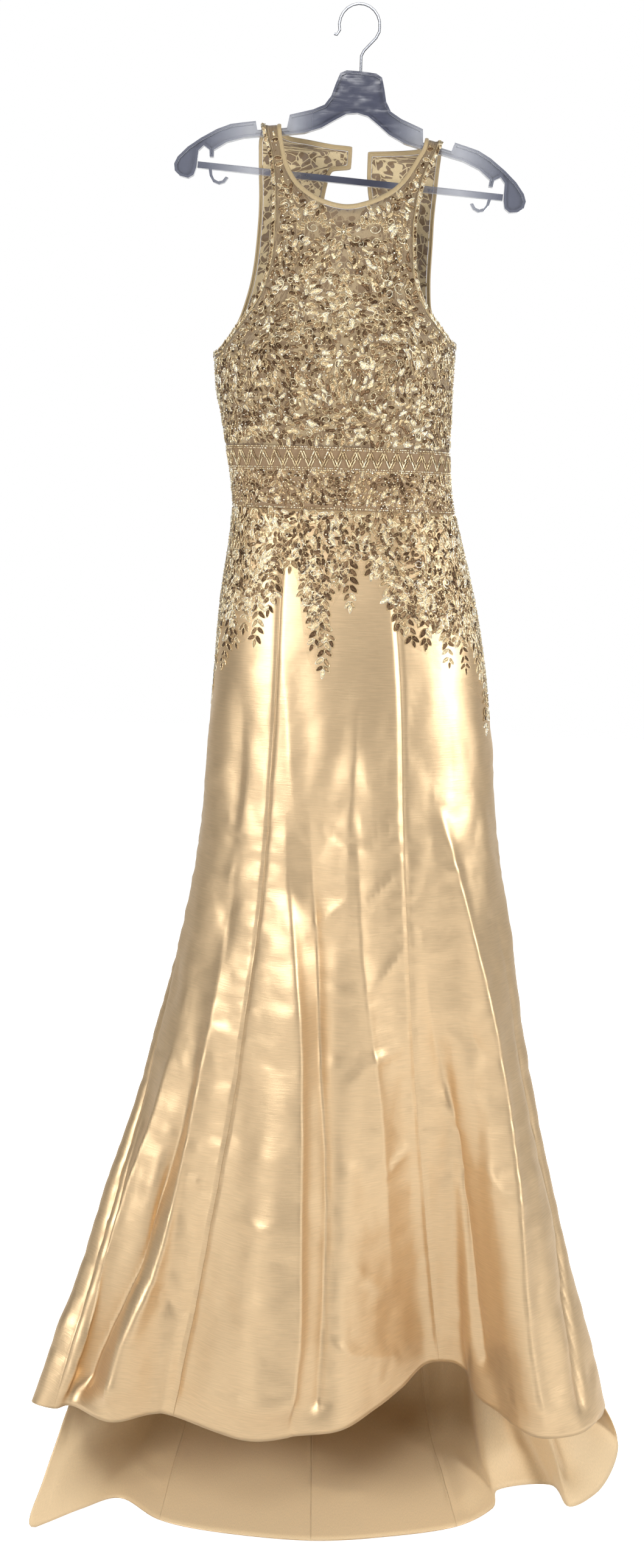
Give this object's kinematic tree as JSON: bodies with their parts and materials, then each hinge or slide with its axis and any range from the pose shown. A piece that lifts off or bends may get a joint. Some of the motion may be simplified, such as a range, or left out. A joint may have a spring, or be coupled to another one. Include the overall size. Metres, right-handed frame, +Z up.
{
  "type": "trumpet gown on a hanger",
  "caption": "Sleeveless floor-length trumpet gown in champagne satin with beaded lace bodice, keyhole back and short train, hung on a clear hanger.",
  "frame": {"origin": "underside of the apex of the hanger's hook, where a rail carries it", "axes": "+Z up; the front of the gown faces -Y; +X is the viewer's right, the wearer's left"},
  "size_m": [0.8062, 0.3593, 1.9331],
  "materials": {
    "champagne_satin": "heavy duchess or mikado satin with a soft sheen",
    "beaded_lace": "net with corded lace, bugle and round beads in gold, silver and rose brown",
    "lining": "matt nude lining seen through the net",
    "binding": "narrow folded nude satin binding",
    "clear_plastic": "clear moulded plastic, slightly grey",
    "chrome": "bright wire",
    "zip_metal": "polished"
  },
  "bodies": {
    "gown_and_hanger": {"bodice_front": "beaded_lace", "back_left": "beaded_lace", "back_right": "beaded_lace", "bust_lining": "lining", "binding_neck_front": "binding", "binding_armhole_left": "binding", "binding_armhole_right": "binding", "binding_back_left": "binding", "binding_back_right": "binding", "midriff_front": "beaded_lace", "midriff_back_left": "beaded_lace", "midriff_back_right": "beaded_lace", "hip_lace_front": "beaded_lace", "hip_lace_back_left": "beaded_lace", "hip_lace_back_right": "beaded_lace", "skirt_centre_front": "champagne_satin", "skirt_side_front_left": "champagne_satin", "skirt_side_front_right": "champagne_satin", "skirt_side_back_left": "champagne_satin", "skirt_side_back_right": "champagne_satin", "skirt_centre_back_left": "champagne_satin", "skirt_centre_back_right": "champagne_satin", "hanger_arms": "clear_plastic", "hanger_bar": "clear_plastic", "hanger_hook": "chrome", "zip_slider": "zip_metal"},
    "zip_pull": {"zip_pull": "zip_metal"}
  },
  "joints": [
    {"name": "zip_pull_tab", "type": "hinge", "parent": "gown_and_hanger", "child": "zip_pull", "pos_m": [-0.01081, 0.07081, -0.3455], "axis": [1, 0, 0], "range_deg": [0, 150]}
  ]
}
